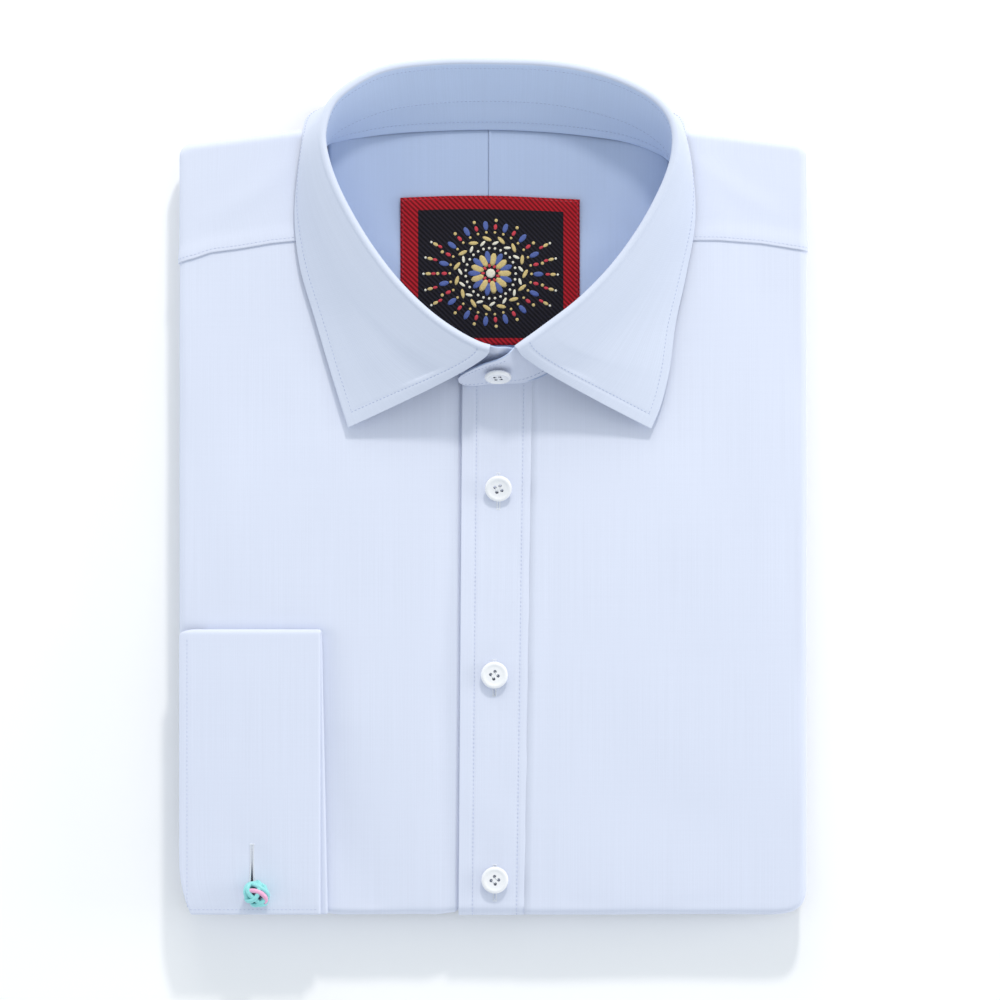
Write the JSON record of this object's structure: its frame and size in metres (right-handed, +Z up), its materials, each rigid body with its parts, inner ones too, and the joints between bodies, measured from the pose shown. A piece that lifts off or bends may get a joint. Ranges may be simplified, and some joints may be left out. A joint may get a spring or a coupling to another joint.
{
  "type": "folded long sleeve dress shirt",
  "caption": "Plain weave dress shirt, folded flat for display, with a spread collar, a buttoned front placket and a double cuff fastened with a silk knot.",
  "frame": {"origin": "under the middle of the folded shirt, on the surface it lies on", "axes": "+X to the wearer's left side, +Y towards the collar, +Z up out of the shirt's front"},
  "size_m": [0.265, 0.3621, 0.0508],
  "materials": {
    "poplin": "matte plain weave cotton, pale blue",
    "label_weave": "woven satin, black field in a red twill border",
    "button_resin": "semi gloss white resin",
    "silk_cord": "braided cord, turquoise with pink"
  },
  "bodies": {
    "root": {"folded_layers": "poplin", "front_right": "poplin", "front_left": "poplin", "placket": "poplin", "yoke_outer_right": "poplin", "yoke_outer_left": "poplin", "yoke_inner_right": "poplin", "yoke_inner_left": "poplin", "neck_label": "label_weave", "collar_stand": "poplin", "collar_leaf": "poplin", "sleeve_end": "poplin", "cuff": "poplin", "button_1": "button_resin", "button_2": "button_resin", "button_3": "button_resin", "collar_button": "button_resin", "silk_knot": "silk_cord"}
  },
  "joints": []
}
